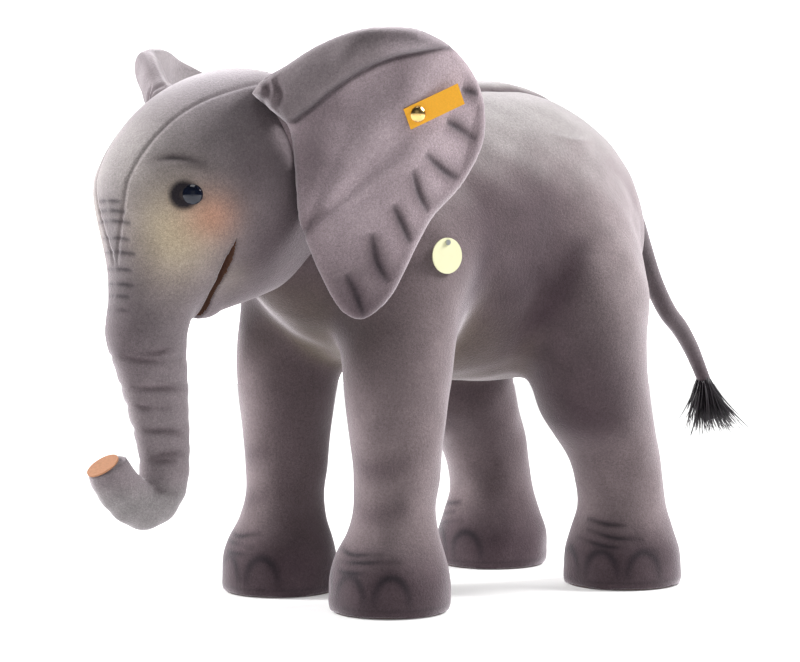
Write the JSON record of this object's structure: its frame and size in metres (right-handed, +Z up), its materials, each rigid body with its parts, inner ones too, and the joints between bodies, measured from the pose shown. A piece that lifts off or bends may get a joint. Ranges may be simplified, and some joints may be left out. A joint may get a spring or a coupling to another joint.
{
  "type": "stuffed elephant",
  "caption": "Standing plush elephant with a wire frame, flapping ears, bending trunk, swinging tail, glossy eyes, ear flag and chest tag.",
  "frame": {"origin": "on the floor under the middle of the elephant's bounding box", "axes": "+Z up, -Y the way the elephant faces, +X its left side"},
  "size_m": [0.3296, 0.6672, 0.4299],
  "materials": {
    "grey_plush": "short woven plush, taupe grey, airbrushed",
    "back_plush": "short woven plush, taupe grey with dark airbrushed edges",
    "ear_lining": "short woven plush, lighter taupe grey",
    "lip_plush": "short woven plush, darker grey brown",
    "stuffing": "polyester fibre fill",
    "sole_suede": "flat grey suede cloth",
    "salmon_suede": "salmon suede cloth",
    "rust_felt": "rust brown felt",
    "tuft_hair": "long dark hair plush",
    "eye_glass": "gloss",
    "plastic_washer": "matt",
    "brass": "polished",
    "steel": "zinc plated",
    "yellow_ribbon": "woven ribbon",
    "tag_card": "printed card",
    "hardboard": "pressed board",
    "clamp_wood": "planed beech"
  },
  "bodies": {
    "root": {"back_gusset": "back_plush", "ear_root_left": "grey_plush", "ear_root_right": "grey_plush", "eye_left": "eye_glass", "eye_right": "eye_glass", "eye_washer_left": "plastic_washer", "eye_washer_right": "plastic_washer", "frame_clamps": "clamp_wood", "frame_screws": "steel", "front_leg_frame": "steel", "front_leg_skin_left": "grey_plush", "front_leg_skin_right": "grey_plush", "front_leg_stuffing_left": "stuffing", "front_leg_stuffing_right": "stuffing", "front_sole_board_left": "hardboard", "front_sole_board_right": "hardboard", "front_sole_pad_left": "sole_suede", "front_sole_pad_right": "sole_suede", "head_gusset": "grey_plush", "head_skin_left": "grey_plush", "head_skin_right": "grey_plush", "head_stuffing": "stuffing", "lower_lip": "lip_plush", "mouth_lining": "rust_felt", "rear_leg_frame": "steel", "rear_leg_skin_left": "grey_plush", "rear_leg_skin_right": "grey_plush", "rear_leg_stuffing_left": "stuffing", "rear_leg_stuffing_right": "stuffing", "rear_sole_board_left": "hardboard", "rear_sole_board_right": "hardboard", "rear_sole_pad_left": "sole_suede", "rear_sole_pad_right": "sole_suede", "spine_rod": "steel", "tag_pin": "steel", "tail_root": "grey_plush", "torso_skin_left": "grey_plush", "torso_skin_right": "grey_plush", "torso_stuffing": "stuffing", "trunk_base_skin": "grey_plush", "trunk_base_stuffing": "stuffing"},
    "ear_left": {"ear_back_left": "grey_plush", "ear_button": "brass", "ear_button_washer": "steel", "ear_front_left": "ear_lining", "ear_pad_left": "stuffing"},
    "ear_right": {"ear_back_right": "grey_plush", "ear_front_right": "ear_lining", "ear_pad_right": "stuffing"},
    "flag": {"flag_label": "yellow_ribbon"},
    "trunk": {"trunk_skin": "grey_plush", "trunk_stuffing": "stuffing"},
    "trunk_tip": {"nostril_patch": "salmon_suede", "trunk_tip_skin": "grey_plush", "trunk_tip_stuffing": "stuffing"},
    "tail": {"tail_skin": "grey_plush", "tail_stuffing": "stuffing", "tail_tuft": "tuft_hair"},
    "tag": {"chest_tag": "tag_card"}
  },
  "joints": [
    {"name": "ear_left_flap", "type": "hinge", "parent": "root", "child": "ear_left", "pos_m": [0.071, -0.2092, 0.3325], "axis": [0.2203, 0.2104, -0.9525], "range_deg": [-10, 35], "stiffness_Nm_per_rad": 1.2},
    {"name": "ear_right_flap", "type": "hinge", "parent": "root", "child": "ear_right", "pos_m": [-0.071, -0.2092, 0.3325], "axis": [0.2203, -0.2104, 0.9525], "range_deg": [-10, 35], "stiffness_Nm_per_rad": 1.2},
    {"name": "trunk_bend", "type": "hinge", "parent": "root", "child": "trunk", "pos_m": [0, -0.2847, 0.212], "axis": [1, 0, 0], "range_deg": [-20, 12], "stiffness_Nm_per_rad": 2},
    {"name": "trunk_tip_curl", "type": "hinge", "parent": "trunk", "child": "trunk_tip", "pos_m": [0, -0.2687, 0.118], "axis": [1, 0, 0], "range_deg": [-25, 20], "stiffness_Nm_per_rad": 1.2},
    {"name": "tail_swing", "type": "hinge", "parent": "root", "child": "tail", "pos_m": [0, 0.2053, 0.3], "axis": [0, 0.8102, 0.5861], "range_deg": [-25, 25], "stiffness_Nm_per_rad": 0.6},
    {"name": "flag_turn", "type": "hinge", "parent": "ear_left", "child": "flag", "pos_m": [0.14422, -0.15191, 0.3695], "axis": [0.9381, -0.2783, -0.2059], "range_deg": [-15, 15]},
    {"name": "tag_swing", "type": "hinge", "parent": "root", "child": "tag", "pos_m": [0.11029, -0.09145, 0.2768], "axis": [0.9962, -0.0872, 0], "range_deg": [-30, 30]}
  ]
}
